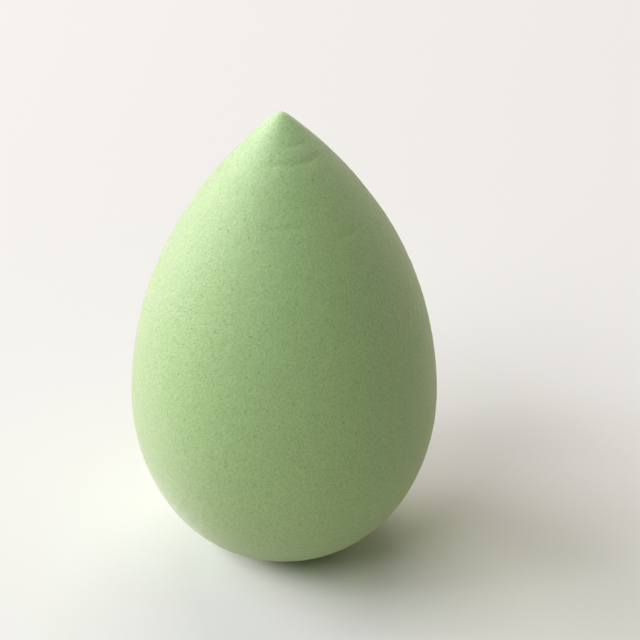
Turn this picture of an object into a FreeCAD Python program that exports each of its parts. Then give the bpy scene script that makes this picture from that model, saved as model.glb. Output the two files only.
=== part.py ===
import FreeCAD, Part
import math
import os

import Sketcher

# Drop-shaped makeup sponge: one piece of fine-cell foam that stands on its broad end.
# Millimetres, +Z up. The origin is the middle of the flat that the sponge stands on.

doc = FreeCAD.newDocument("MakeupSponge")

# Driving dimensions, lengths in millimetres and sweeps in degrees
sheet = doc.addObject("Spreadsheet::Sheet", "Sizes")
sizes = [
    ("sponge_height", "63", "from the flat foot to the tip"),
    ("sponge_diameter", "40", "across the widest level"),
    ("widest_height", "22.3", "from the flat foot up to the widest level"),
    ("foot_cut", "0.5", "how deep the round end is flattened where it stands"),
    ("belly_sweep", "28", "turn of the arc that leads from the bowl to the widest level"),
    ("flank_sweep", "32", "turn of the arc that leads up from the widest level"),
    ("tip_half_angle", "47.5", "slope of the outline to the axis where the tip begins"),
    ("tip_radius", "1.4", "rounding of the tip"),
]
for row, (alias, value, meaning) in enumerate(sizes, start=1):
    sheet.set(f"A{row}", alias)
    sheet.set(f"B{row}", value)
    sheet.set(f"C{row}", meaning)
    sheet.setAlias(f"B{row}", alias)
doc.recompute()

height = sheet.get("sponge_height")
half_width = sheet.get("sponge_diameter") / 2
widest_height = sheet.get("widest_height")
foot_cut = sheet.get("foot_cut")
tip_radius = sheet.get("tip_radius")

# Directions of the outline, from level at the foot, through upright at the widest, to level at the tip
level = 0
upright = math.pi / 2
over_tip = math.pi
belly_start = upright - math.radians(sheet.get("belly_sweep"))
flank_end = upright + math.radians(sheet.get("flank_sweep"))
neck_end = upright + math.radians(sheet.get("tip_half_angle"))


def arc_pair(start, middle, end, run, rise):
    """Radii of two tangent arcs that turn the outline from start to end over a run and a rise."""
    run_first = math.sin(middle) - math.sin(start)
    run_second = math.sin(end) - math.sin(middle)
    rise_first = math.cos(start) - math.cos(middle)
    rise_second = math.cos(middle) - math.cos(end)
    cross = run_first * rise_second - run_second * rise_first
    first = (run * rise_second - run_second * rise) / cross
    second = (run_first * rise - run * rise_first) / cross
    return first, second


def arc(centre_x, centre_y, radius, start, end):
    """Arc of the outline between two of its directions, the outside of the turn facing out."""
    circle = Part.Circle(FreeCAD.Vector(centre_x, centre_y, 0), FreeCAD.Vector(0, 0, 1), radius)
    return Part.ArcOfCircle(circle, start - upright, end - upright)


def bound(sketch, constraint, name, expression):
    """Adds a dimension to the sketch and ties it to the sheet."""
    index = sketch.addConstraint(constraint)
    sketch.renameConstraint(index, name)
    sketch.setExpression(f"Constraints.{name}", expression)


def foam_sponge():
    """The whole drop: an outline of five tangent arcs, turned about the upright axis."""
    body = doc.addObject("PartDesign::Body", "SpongeBody")
    body.Label = "sponge_body"
    body.Placement = FreeCAD.Placement()
    upright_plane = next(f for f in body.Origin.OriginFeatures if f.Role == "XZ_Plane")

    sketch = body.newObject("Sketcher::SketchObject", "DropOutline")
    sketch.AttachmentSupport = (upright_plane, [""])
    sketch.MapMode = "FlatFace"

    # below the widest level a bowl about the axis leads into the belly, above it a flank into the neck
    bowl, belly = arc_pair(level, belly_start, upright, half_width, widest_height + foot_cut)
    tip_start_x = tip_radius * math.sin(neck_end)
    tip_start_y = height - tip_radius - tip_radius * math.cos(neck_end)
    flank, neck = arc_pair(upright, flank_end, neck_end, tip_start_x - half_width, tip_start_y - widest_height)
    neck_x = tip_start_x - neck * math.sin(neck_end)
    neck_y = tip_start_y + neck * math.cos(neck_end)
    bowl_y = bowl - foot_cut
    foot_start = math.acos(bowl_y / bowl)
    foot_x = bowl * math.sin(foot_start)

    origin = FreeCAD.Vector(0, 0, 0)
    foot_edge = FreeCAD.Vector(foot_x, 0, 0)
    apex = FreeCAD.Vector(0, height, 0)
    foot_line = sketch.addGeometry(Part.LineSegment(origin, foot_edge))
    bowl_arc = sketch.addGeometry(arc(0, bowl_y, bowl, foot_start, belly_start))
    belly_arc = sketch.addGeometry(arc(half_width - belly, widest_height, belly, belly_start, upright))
    flank_arc = sketch.addGeometry(arc(half_width - flank, widest_height, flank, upright, flank_end))
    neck_arc = sketch.addGeometry(arc(neck_x, neck_y, neck, flank_end, neck_end))
    tip_arc = sketch.addGeometry(arc(0, height - tip_radius, tip_radius, neck_end, over_tip))
    axis_line = sketch.addGeometry(Part.LineSegment(apex, origin))
    # where the bowl would end below if it weren't flattened
    lowest = sketch.addGeometry(Part.Point(FreeCAD.Vector(0, -foot_cut, 0)), True)

    # positions on an edge, and the sketch's own origin and axis
    first, last, centre = 1, 2, 3
    root, vertical_axis = -1, -2
    sketch.addConstraint([
        Sketcher.Constraint("Coincident", foot_line, first, root, first),
        Sketcher.Constraint("Horizontal", foot_line),
        Sketcher.Constraint("Coincident", foot_line, last, bowl_arc, first),
        Sketcher.Constraint("Tangent", bowl_arc, last, belly_arc, first),
        Sketcher.Constraint("Tangent", belly_arc, last, flank_arc, first),
        Sketcher.Constraint("Tangent", flank_arc, last, neck_arc, first),
        Sketcher.Constraint("Tangent", neck_arc, last, tip_arc, first),
        Sketcher.Constraint("Coincident", tip_arc, last, axis_line, first),
        Sketcher.Constraint("Coincident", axis_line, last, root, first),
        Sketcher.Constraint("Vertical", axis_line),
        Sketcher.Constraint("PointOnObject", bowl_arc, centre, vertical_axis),
        Sketcher.Constraint("PointOnObject", tip_arc, centre, vertical_axis),
        Sketcher.Constraint("Horizontal", belly_arc, centre, belly_arc, last),
        Sketcher.Constraint("PointOnObject", lowest, first, vertical_axis),
        Sketcher.Constraint("PointOnObject", lowest, first, bowl_arc),
    ])

    across = Sketcher.Constraint("DistanceX", root, first, belly_arc, last, half_width)
    bound(sketch, across, "half_width", "Sizes.sponge_diameter / 2")
    widest = Sketcher.Constraint("DistanceY", root, first, belly_arc, last, widest_height)
    bound(sketch, widest, "widest_height", "Sizes.widest_height")
    tall = Sketcher.Constraint("DistanceY", root, first, tip_arc, last, height)
    bound(sketch, tall, "height", "Sizes.sponge_height")
    cut = Sketcher.Constraint("DistanceY", lowest, first, root, first, foot_cut)
    bound(sketch, cut, "foot_cut", "Sizes.foot_cut")
    belly_turn = Sketcher.Constraint("Angle", belly_arc, upright - belly_start)
    bound(sketch, belly_turn, "belly_sweep", "Sizes.belly_sweep * 1 deg")
    flank_turn = Sketcher.Constraint("Angle", flank_arc, flank_end - upright)
    bound(sketch, flank_turn, "flank_sweep", "Sizes.flank_sweep * 1 deg")
    tip_turn = Sketcher.Constraint("Angle", tip_arc, over_tip - neck_end)
    bound(sketch, tip_turn, "tip_sweep", "90 deg - Sizes.tip_half_angle * 1 deg")
    rounding = Sketcher.Constraint("Radius", tip_arc, tip_radius)
    bound(sketch, rounding, "tip_radius", "Sizes.tip_radius")
    doc.recompute()

    turned = body.newObject("PartDesign::Revolution", "TurnedDrop")
    turned.Profile = sketch
    turned.ReferenceAxis = (sketch, ["V_Axis"])
    turned.Angle = 360
    sketch.Visibility = False
    body.Tip = turned
    doc.recompute()
    return body


sub_parts = [foam_sponge()]

failed = [o.Name for o in doc.Objects if "Invalid" in o.State or "Error" in o.State]
if failed:
    raise RuntimeError(f"these did not build: {failed}")
for sub_part in sub_parts:
    if sub_part.Shape.isNull() or not sub_part.Shape.isValid():
        raise RuntimeError(f"{sub_part.Label} has no valid solid")

os.makedirs("parts", exist_ok=True)
for sub_part in sub_parts:
    shape = sub_part.Shape
    shape.exportStep(f"parts/{sub_part.Label}.step")
    box = shape.BoundBox
    print(sub_part.Label, "solids", len(shape.Solids), "volume", round(shape.Volume, 1))
    print("box", [round(v, 3) for v in (box.XMin, box.YMin, box.ZMin, box.XMax, box.YMax, box.ZMax)])
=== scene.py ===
import math

import bpy
from mathutils import Matrix, Vector, noise


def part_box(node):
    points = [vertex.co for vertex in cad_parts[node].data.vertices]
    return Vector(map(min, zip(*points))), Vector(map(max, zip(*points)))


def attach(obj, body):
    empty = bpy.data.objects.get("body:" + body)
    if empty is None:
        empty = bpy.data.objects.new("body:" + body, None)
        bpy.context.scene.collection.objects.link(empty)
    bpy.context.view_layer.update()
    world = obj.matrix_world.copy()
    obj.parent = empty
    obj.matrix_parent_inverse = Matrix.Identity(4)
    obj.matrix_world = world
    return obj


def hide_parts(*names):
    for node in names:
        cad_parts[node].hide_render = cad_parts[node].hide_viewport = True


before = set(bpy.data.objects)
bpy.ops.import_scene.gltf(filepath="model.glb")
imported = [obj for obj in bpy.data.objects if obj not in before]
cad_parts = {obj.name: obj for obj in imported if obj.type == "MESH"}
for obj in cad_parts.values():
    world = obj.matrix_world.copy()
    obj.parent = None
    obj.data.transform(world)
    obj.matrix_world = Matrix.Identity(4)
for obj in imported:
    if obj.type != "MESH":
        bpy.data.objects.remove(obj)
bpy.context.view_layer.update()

mm = 0.001
scene = bpy.context.scene
scene.view_settings.view_transform = "Standard"


# The drop. Its width and height are read from the frame, the rest is in millimetres and degrees.
drop = {
    "node": "sponge_body",
    "widestHeight": 22.3,
    "footCut": 0.5,
    "bellySweep": 28,
    "flankSweep": 32,
    "tipHalfAngle": 47.5,
    "tipRadius": 1.15,
    "tipLean": (-0.36, 0),   # how far the tip leans in x and y
    "leanHeight": 18,        # the lean begins this far below the tip
    "edge": 0.29,            # length of the skin's triangles
    "rowSpacing": 0.87,      # rows of points lie this share of an edge apart
}


def pairOfArcs(start, middle, end, run, rise):
    # radii of two arcs that share a tangent and turn the outline from start to end
    runA, runB = math.sin(middle) - math.sin(start), math.sin(end) - math.sin(middle)
    riseA, riseB = math.cos(start) - math.cos(middle), math.cos(middle) - math.cos(end)
    cross = runA * riseB - runB * riseA
    return (run * riseB - runB * rise) / cross, (runA * rise - run * riseA) / cross


def dropOutline(halfWidth, height):
    # arcs from the foot to the tip: centre radius, centre height, arc radius, first and last direction
    upright = math.pi / 2
    bellyStart = upright - math.radians(drop["bellySweep"])
    flankEnd = upright + math.radians(drop["flankSweep"])
    neckEnd = upright + math.radians(drop["tipHalfAngle"])
    widest, cut, tip = drop["widestHeight"], drop["footCut"], drop["tipRadius"]
    bowl, belly = pairOfArcs(0, bellyStart, upright, halfWidth, widest + cut)
    tipX = tip * math.sin(neckEnd)
    tipZ = height - tip - tip * math.cos(neckEnd)
    flank, neck = pairOfArcs(upright, flankEnd, neckEnd, tipX - halfWidth, tipZ - widest)
    footStart = math.acos((bowl - cut) / bowl)
    return [
        (0, bowl - cut, bowl, footStart, bellyStart),
        (halfWidth - belly, widest, belly, bellyStart, upright),
        (halfWidth - flank, widest, flank, upright, flankEnd),
        (tipX - neck * math.sin(neckEnd), tipZ + neck * math.cos(neckEnd), neck, flankEnd, neckEnd),
        (0, height - tip, tip, neckEnd, math.pi),
    ]


def outlineSteps(arcs, step):
    # radius, height, direction and distance along the outline, from the middle of the foot to the tip
    x, z, radius, first, last = arcs[0]
    footRadius = radius * math.sin(first)
    count = round(footRadius / step)
    steps = [(footRadius * i / count, 0, 0, footRadius * i / count) for i in range(count)]
    walked = footRadius
    for x, z, radius, first, last in arcs:
        count = max(2, round(radius * (last - first) / step))
        for i in range(count):
            turn = first + (last - first) * i / count
            place = x + radius * math.sin(turn), z - radius * math.cos(turn)
            steps.append((*place, turn, walked + radius * (turn - first)))
        walked += radius * (last - first)
    steps.append((0, z + radius, math.pi, walked))
    return steps


# The foam's skin in relief, millimetres
relief = {
    "grainSizes": (0.60, 1.00),      # the even tooth all over
    "grainHeights": (0.030, 0.022),
    "swellSize": 9.0,                # slow unevenness left by grinding
    "swellHeight": 0.045,
    "pitSpacing": 1.5,               # burst cells
    "pitRadius": 0.34,
    "pitDepth": 0.16,
    "pitShare": 0.22,                # of the spaces that hold a pit
    "pitSizes": (0.6, 0.8),          # smallest share of the radius, and what chance adds to it
    "pitDraws": (7.3, 3.1),          # stretch of the noise that chooses the pits, and that sizes them
    # turning marks under the tip: height, first and last direction around in degrees
    "ringMarks": ((60.0, 262, 326), (58.3, 242, 338), (56.4, 60, 150), (53.4, 110, 190),
                  (52.1, 250, 290), (50.3, 302, 332)),
    "ringFade": 14,                  # degrees in which a mark dies away
    "ringWidth": 0.26,
    "ringReach": 3,                  # widths from a mark at which nothing is left of it
    "ringDepth": 0.11,
}


def foamRelief(place, height):
    rise = 0
    for size, tall in zip(relief["grainSizes"], relief["grainHeights"]):
        rise += tall * noise.noise(place / size)
    rise += relief["swellHeight"] * noise.noise(place / relief["swellSize"])
    # a pit where the nearest cell point is one of the chosen ones
    cells = place / relief["pitSpacing"]
    reach, points = noise.voronoi(cells)
    chosen, sized = relief["pitDraws"]
    if noise.cell(points[0] * chosen) < relief["pitShare"]:
        least, more = relief["pitSizes"]
        size = relief["pitRadius"] * (least + more * abs(noise.noise(points[0] * sized)))
        near = reach[0] * relief["pitSpacing"] / size
        if near < 1:
            rise -= relief["pitDepth"] * (1 - near * near) ** 2
    around = math.degrees(math.atan2(place.y, place.x)) % 360
    for ring, first, last in relief["ringMarks"]:
        off = (height - ring) / relief["ringWidth"]
        if abs(off) < relief["ringReach"] and first < around < last:
            worn = min(1, min(around - first, last - around) / relief["ringFade"])
            rise -= relief["ringDepth"] * worn * math.exp(-off * off)
    return rise


def foamSkin():
    low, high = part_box(drop["node"])
    arcs = dropOutline((high.x - low.x) / 2 / mm, (high.z - low.z) / mm)
    steps = outlineSteps(arcs, drop["edge"] * drop["rowSpacing"])
    length = steps[-1][3]
    top = high.z / mm
    lean = Vector((*drop["tipLean"], 0))
    places, rings = [], []
    for radius, height, direction, walked in steps:
        count = max(1, round(2 * math.pi * radius / drop["edge"]))
        rings.append((len(places), count, walked / length))
        for j in range(count):
            around = math.pi / 2 + 2 * math.pi * j / count
            out = Vector((math.cos(around), math.sin(around), 0))
            skin = out * radius + Vector((0, 0, height))
            normal = out * math.sin(direction) - Vector((0, 0, math.cos(direction)))
            skin += normal * foamRelief(skin, height)
            skin += lean * max(0, 1 - (top - height) / drop["leanHeight"]) ** 2
            skin.z = max(skin.z, 0)
            places.append(skin * mm)
    faces, corners = [], []
    for (startA, countA, shareA), (startB, countB, shareB) in zip(rings, rings[1:]):
        # zip two neighbouring rings together, each time taking the shorter way on
        i = j = 0
        while i < countA or j < countB:
            onA = (i + 1) / countA if countA > 1 and i < countA else 2
            onB = (j + 1) / countB if countB > 1 and j < countB else 2
            if onA == onB == 2:
                break
            a, b = startA + i % countA, startB + j % countB
            uvA, uvB = (i / countA, shareA), (j / countB, shareB)
            if countA == 1:
                uvA = ((j + 0.5) / countB, shareA)
            if countB == 1:
                uvB = ((i + 0.5) / countA, shareB)
            if onA <= onB:
                i += 1
                faces.append((a, startA + i % countA, b))
                corners += [uvA, (i / countA, shareA), uvB]
            else:
                j += 1
                faces.append((a, startB + j % countB, b))
                corners += [uvA, (j / countB, shareB), uvB]
    mesh = bpy.data.meshes.new("foamDrop")
    mesh.from_pydata(places, [], faces)
    layer = mesh.uv_layers.new(name="OFBake")
    layer.uv.foreach_set("vector", [v for corner in corners for v in corner])
    mesh.polygons.foreach_set("use_smooth", [True] * len(faces))
    mesh.update()
    piece = bpy.data.objects.new("foamDrop", mesh)
    scene.collection.objects.link(piece)
    print("foam skin", len(places), "points", len(faces), "triangles")
    return piece


colourA, colourB, mixedColour = 6, 7, 2     # sockets of a mix node that is set to colours


def addNode(tree, kind, place, inputs=None, **settings):
    node = tree.nodes.new(kind)
    node.location = place
    for name, value in settings.items():
        setattr(node, name, value)
    for name, value in (inputs or {}).items():
        node.inputs[name].default_value = value
    return node


def shownRays(tree, place):
    # 1 for the rays that show a surface: straight, mirrored or through something clear
    ray = addNode(tree, "ShaderNodeLightPath", place)
    shown = ray.outputs["Is Camera Ray"]
    for name in ("Is Glossy Ray", "Is Transmission Ray"):
        place = place[0] + 180, place[1]
        more = addNode(tree, "ShaderNodeMath", place, operation="MAXIMUM")
        tree.links.new(shown, more.inputs[0])
        tree.links.new(ray.outputs[name], more.inputs[1])
        shown = more.outputs["Value"]
    return shown


# The foam itself, sizes in millimetres
foam = {
    "green": (0.367, 0.575, 0.248, 1),
    "paleGreen": (0.394, 0.604, 0.270, 1),
    "paintedPoreShadeGreen": (0.205, 0.350, 0.125, 1),  # painted shade down in the open cells
    "paintedTipLightGreen": (0.430, 0.650, 0.325, 1),   # painted light: paler at the tip, standing in for the light that passes through it
    "paintedTipLightHeights": (55, 62),                 # where that painted light begins and where it is full
    "cellSize": 0.52,
    "cellWarp": 0.14,                       # how far the cells are pushed out of their grid
    "warpDetail": 1.0,
    "poreReach": (0.04, 0.55),              # smallest and largest pore, in shares of a cell
    "poreRarity": 2.7,                      # the higher, the fewer large ones
    "poreShade": 0.62,                      # how far the painted shade darkens a pore
    "poreDepth": 0.035,
    "grainSize": 0.25,
    "grainDetail": 1.0,
    "grainRoughness": 0.5,
    "grainHeight": 0.09,
    "grainShade": 0.60,
    "driftSize": 11.0,                      # slow change of the dye
    "driftDetail": 2.0,
    "roughness": (0.52, 0.68),
    "specular": 0.62,
    "sheen": 0.45,
    "sheenRoughness": 0.5,
    "scatter": 0.8,
    "scatterReach": 3.5,
    "scatterColours": (1.0, 1.0, 1.0),      # red, green and blue go equally far
}


def foamMaterial():
    material = bpy.data.materials.new("greenFoam")
    material.use_nodes = True
    tree = material.node_tree
    join = tree.links.new
    shader = tree.nodes["Principled BSDF"]
    where = addNode(tree, "ShaderNodeTexCoord", (-1900, 0))

    # pores: a warped field of cells, each with a pore of its own size
    warp = addNode(tree, "ShaderNodeTexNoise", (-1700, 250),
                   {"Scale": 1 / (foam["cellSize"] * mm), "Detail": foam["warpDetail"]})
    centred = addNode(tree, "ShaderNodeVectorMath", (-1500, 250), operation="SUBTRACT")
    centred.inputs[1].default_value = (0.5, 0.5, 0.5)
    moved = addNode(tree, "ShaderNodeVectorMath", (-1300, 250),
                    {"Scale": foam["cellWarp"] * mm * 2}, operation="SCALE")
    place = addNode(tree, "ShaderNodeVectorMath", (-1100, 250), operation="ADD")
    cells = addNode(tree, "ShaderNodeTexVoronoi", (-900, 250),
                    {"Scale": 1 / (foam["cellSize"] * mm)})
    draw = addNode(tree, "ShaderNodeSeparateColor", (-700, 350))
    rare = addNode(tree, "ShaderNodeMath", (-600, 450), operation="POWER")
    rare.inputs[1].default_value = foam["poreRarity"]
    small, large = foam["poreReach"]
    reach = addNode(tree, "ShaderNodeMapRange", (-500, 350), {"To Min": small, "To Max": large})
    pore = addNode(tree, "ShaderNodeMapRange", (-300, 250),
                   {"From Max": 0.0}, interpolation_type="SMOOTHSTEP")
    join(where.outputs["Object"], warp.inputs["Vector"])
    join(warp.outputs["Color"], centred.inputs[0])
    join(centred.outputs["Vector"], moved.inputs[0])
    join(where.outputs["Object"], place.inputs[0])
    join(moved.outputs["Vector"], place.inputs[1])
    join(place.outputs["Vector"], cells.inputs["Vector"])
    join(cells.outputs["Color"], draw.inputs["Color"])
    join(draw.outputs["Red"], rare.inputs[0])
    join(rare.outputs["Value"], reach.inputs["Value"])
    join(reach.outputs["Result"], pore.inputs["From Min"])
    join(cells.outputs["Distance"], pore.inputs["Value"])

    # grain between the pores, and the slow drift of the dye
    grain = addNode(tree, "ShaderNodeTexNoise", (-900, -100),
                    {"Scale": 1 / (foam["grainSize"] * mm), "Detail": foam["grainDetail"],
                     "Roughness": foam["grainRoughness"]})
    drift = addNode(tree, "ShaderNodeTexNoise", (-900, 650),
                    {"Scale": 1 / (foam["driftSize"] * mm), "Detail": foam["driftDetail"]})
    join(where.outputs["Object"], grain.inputs["Vector"])
    join(where.outputs["Object"], drift.inputs["Vector"])

    # colour: the dye, with painted light making it paler at the tip and painted shade darkening it
    # down in the pores
    dye = addNode(tree, "ShaderNodeMix", (-300, 650), data_type="RGBA")
    dye.inputs[colourA].default_value = foam["green"]
    dye.inputs[colourB].default_value = foam["paleGreen"]
    paleFrom, paleFull = foam["paintedTipLightHeights"]
    height = addNode(tree, "ShaderNodeSeparateXYZ", (-1500, 900))
    nearTip = addNode(tree, "ShaderNodeMapRange", (-900, 900),
                      {"From Min": paleFrom * mm, "From Max": paleFull * mm})
    # painted light: the colour is mixed towards a paler green near the tip, by height
    paintedTipLightMix = addNode(tree, "ShaderNodeMix", (-100, 900), data_type="RGBA")
    paintedTipLightMix.inputs[colourB].default_value = foam["paintedTipLightGreen"]
    join(where.outputs["Object"], height.inputs["Vector"])
    join(height.outputs["Z"], nearTip.inputs["Value"])
    join(nearTip.outputs["Result"], paintedTipLightMix.inputs["Factor"])
    join(dye.outputs[mixedColour], paintedTipLightMix.inputs[colourA])
    darken = addNode(tree, "ShaderNodeMath", (-100, 350), operation="MULTIPLY")
    darken.inputs[1].default_value = foam["poreShade"]
    # painted shade: each pore is mixed towards a darker green
    shaded = addNode(tree, "ShaderNodeMix", (100, 500), data_type="RGBA")
    shaded.inputs[colourB].default_value = foam["paintedPoreShadeGreen"]
    tone = addNode(tree, "ShaderNodeMapRange", (-300, -50),
                   {"To Min": 1 - foam["grainShade"] / 2, "To Max": 1 + foam["grainShade"] / 2})
    colour = addNode(tree, "ShaderNodeVectorMath", (300, 400), operation="SCALE")
    join(drift.outputs["Fac"], dye.inputs["Factor"])
    join(pore.outputs["Result"], darken.inputs[0])
    join(darken.outputs["Value"], shaded.inputs["Factor"])
    join(paintedTipLightMix.outputs[mixedColour], shaded.inputs[colourA])
    join(grain.outputs["Fac"], tone.inputs["Value"])
    join(shaded.outputs[mixedColour], colour.inputs[0])
    join(tone.outputs["Result"], colour.inputs["Scale"])
    join(colour.outputs["Vector"], shader.inputs["Base Color"])

    # fine relief, heights in millimetres
    swell = addNode(tree, "ShaderNodeMath", (-100, -150), operation="MULTIPLY")
    swell.inputs[1].default_value = foam["grainHeight"]
    relieved = addNode(tree, "ShaderNodeMath", (100, -100), operation="MULTIPLY_ADD")
    relieved.inputs[1].default_value = -foam["poreDepth"]
    bump = addNode(tree, "ShaderNodeBump", (300, -150), {"Strength": 1.0, "Distance": mm})
    join(grain.outputs["Fac"], swell.inputs[0])
    join(pore.outputs["Result"], relieved.inputs[0])
    join(swell.outputs["Value"], relieved.inputs[2])
    join(relieved.outputs["Value"], bump.inputs["Height"])
    join(bump.outputs["Normal"], shader.inputs["Normal"])

    # finish: the grain also decides how dull each spot is
    smooth, dull = foam["roughness"]
    fuzz = addNode(tree, "ShaderNodeMapRange", (100, 100), {"To Min": smooth, "To Max": dull})
    join(grain.outputs["Fac"], fuzz.inputs["Value"])
    join(fuzz.outputs["Result"], shader.inputs["Roughness"])
    shader.inputs["Specular IOR Level"].default_value = foam["specular"]
    shader.inputs["Sheen Weight"].default_value = foam["sheen"]
    shader.inputs["Sheen Roughness"].default_value = foam["sheenRoughness"]
    shader.inputs["Subsurface Weight"].default_value = foam["scatter"]
    shader.inputs["Subsurface Radius"].default_value = foam["scatterColours"]
    shader.inputs["Subsurface Scale"].default_value = foam["scatterReach"] * mm
    return material


sponge = foamSkin()
sponge.data.materials.append(foamMaterial())
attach(sponge, "root")
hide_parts(drop["node"])
print("sponge in place of", drop["node"])


# The pale sheet that it stands on
sheet = {
    "reach": 3.0,                          # metres
    "white": (0.856, 0.894, 0.876, 1),
    "bounce": (0.62, 0.60, 0.46, 1),       # what it gives back to the sponge
    "roughness": 0.9,
    "specular": 0.1,
}


def paleSheet():
    mesh = bpy.data.meshes.new("paleSheet")
    far = sheet["reach"]
    corners = [(-far, -far, 0), (far, -far, 0), (far, far, 0), (-far, far, 0)]
    mesh.from_pydata(corners, [], [(0, 1, 2, 3)])
    piece = bpy.data.objects.new("paleSheet", mesh)
    scene.collection.objects.link(piece)
    material = bpy.data.materials.new("palePaper")
    material.use_nodes = True
    tree = material.node_tree
    shader = tree.nodes["Principled BSDF"]
    colour = addNode(tree, "ShaderNodeMix", (-250, 0), data_type="RGBA")
    colour.inputs[colourA].default_value = sheet["bounce"]
    colour.inputs[colourB].default_value = sheet["white"]
    tree.links.new(shownRays(tree, (-900, 0)), colour.inputs["Factor"])
    tree.links.new(colour.outputs[mixedColour], shader.inputs["Base Color"])
    shader.inputs["Roughness"].default_value = sheet["roughness"]
    shader.inputs["Specular IOR Level"].default_value = sheet["specular"]
    mesh.materials.append(material)


paleSheet()
print("sheet laid")


# Where the picture is taken from, millimetres and degrees; the pixel is in a 640 by 640 picture
viewpoint = {
    "middleHeight": 28.3,
    "distance": 310,
    "elevation": 31,
    "roll": 0.39,
    "lens": 133.87,
    "sensor": 36,
    "nearest": 10,                         # anything closer isn't drawn
    "pictureSide": 640,
    "middlePixel": (284.2, 353.8),         # where the sponge's middle lands
}


def takeView():
    look = bpy.data.cameras.new("view")
    look.lens = viewpoint["lens"]
    look.sensor_width = viewpoint["sensor"]
    look.clip_start = viewpoint["nearest"] * mm
    camera = bpy.data.objects.new("view", look)
    scene.collection.objects.link(camera)
    up = math.radians(viewpoint["elevation"])
    distance = viewpoint["distance"] * mm
    middle = Vector((0, 0, viewpoint["middleHeight"] * mm))
    camera.location = middle + distance * Vector((0, -math.cos(up), math.sin(up)))
    # aim beside the sponge, so that its middle lands on its pixel
    pixel = distance * viewpoint["sensor"] / viewpoint["lens"] / viewpoint["pictureSide"]
    half = viewpoint["pictureSide"] / 2
    across, down = (half - p for p in viewpoint["middlePixel"])
    aim = middle + Vector((across, 0, 0)) * pixel
    aim -= Vector((0, math.sin(up), math.cos(up))) * down * pixel
    turned = (aim - camera.location).to_track_quat("-Z", "Y").to_matrix().to_4x4()
    turned = turned @ Matrix.Rotation(math.radians(viewpoint["roll"]), 4, "Z")
    camera.rotation_euler = turned.to_euler()
    scene.camera = camera


takeView()


# Lights: direction towards the lamp in degrees (0 is +X, 90 is the far side), sizes in metres
lampDistance = 2.0
lamps = [
    {"name": "windowFront", "around": 218, "up": 42, "width": 1.5, "height": 0.9,
     "watts": 19.0, "colour": (1.0, 0.96, 0.96)},
    {"name": "windowMiddle", "around": 174, "up": 41, "width": 1.6, "height": 1.0,
     "watts": 17.3, "colour": (0.96, 0.95, 1.0)},
    {"name": "lowWall", "around": 158, "up": 15, "width": 1.0, "height": 0.6,
     "watts": 24.4, "colour": (1.0, 0.82, 0.98)},
    {"name": "backWall", "around": 80, "up": 32, "width": 2.8, "height": 1.4,
     "watts": 5.0, "colour": (1.0, 0.80, 0.70)},
    {"name": "backCeiling", "around": 90, "up": 60, "width": 1.4, "height": 1.0,
     "watts": 10.8, "colour": (1.0, 0.93, 0.80)},
    {"name": "rightWall", "around": 20, "up": 32, "width": 1.6, "height": 1.0,
     "watts": 3.0, "colour": (1.0, 0.91, 0.58)},
]
roomLight = {
    "colour": (1.0, 0.92, 0.75, 1),
    "strength": 0.045,
    "seen": (0.93, 0.92, 0.90, 1),         # what shows past the sheet's edge
}


def setLights():
    for lamp in lamps:
        light = bpy.data.lights.new(lamp["name"], "AREA")
        light.shape = "RECTANGLE"
        light.size = lamp["width"]
        light.size_y = lamp["height"]
        light.energy = lamp["watts"]
        light.color = lamp["colour"]
        piece = bpy.data.objects.new(lamp["name"], light)
        scene.collection.objects.link(piece)
        around, up = math.radians(lamp["around"]), math.radians(lamp["up"])
        level = math.cos(up)
        towards = Vector((math.cos(around) * level, math.sin(around) * level, math.sin(up)))
        piece.location = towards * lampDistance
        piece.rotation_euler = (-towards).to_track_quat("-Z", "Y").to_euler()
        piece.visible_camera = False
    world = bpy.data.worlds.new("room")
    world.use_nodes = True
    tree = world.node_tree
    ambient = tree.nodes["Background"]
    ambient.inputs["Color"].default_value = roomLight["colour"]
    ambient.inputs["Strength"].default_value = roomLight["strength"]
    seen = addNode(tree, "ShaderNodeBackground", (0, -150), {"Color": roomLight["seen"]})
    seen.inputs["Strength"].default_value = 1.0
    mix = addNode(tree, "ShaderNodeMixShader", (250, 100))
    tree.links.new(shownRays(tree, (-600, 250)), mix.inputs["Fac"])
    tree.links.new(ambient.outputs["Background"], mix.inputs[1])
    tree.links.new(seen.outputs["Background"], mix.inputs[2])
    tree.links.new(mix.outputs["Shader"], tree.nodes["World Output"].inputs["Surface"])
    scene.world = world


setLights()
print("camera and lights set")
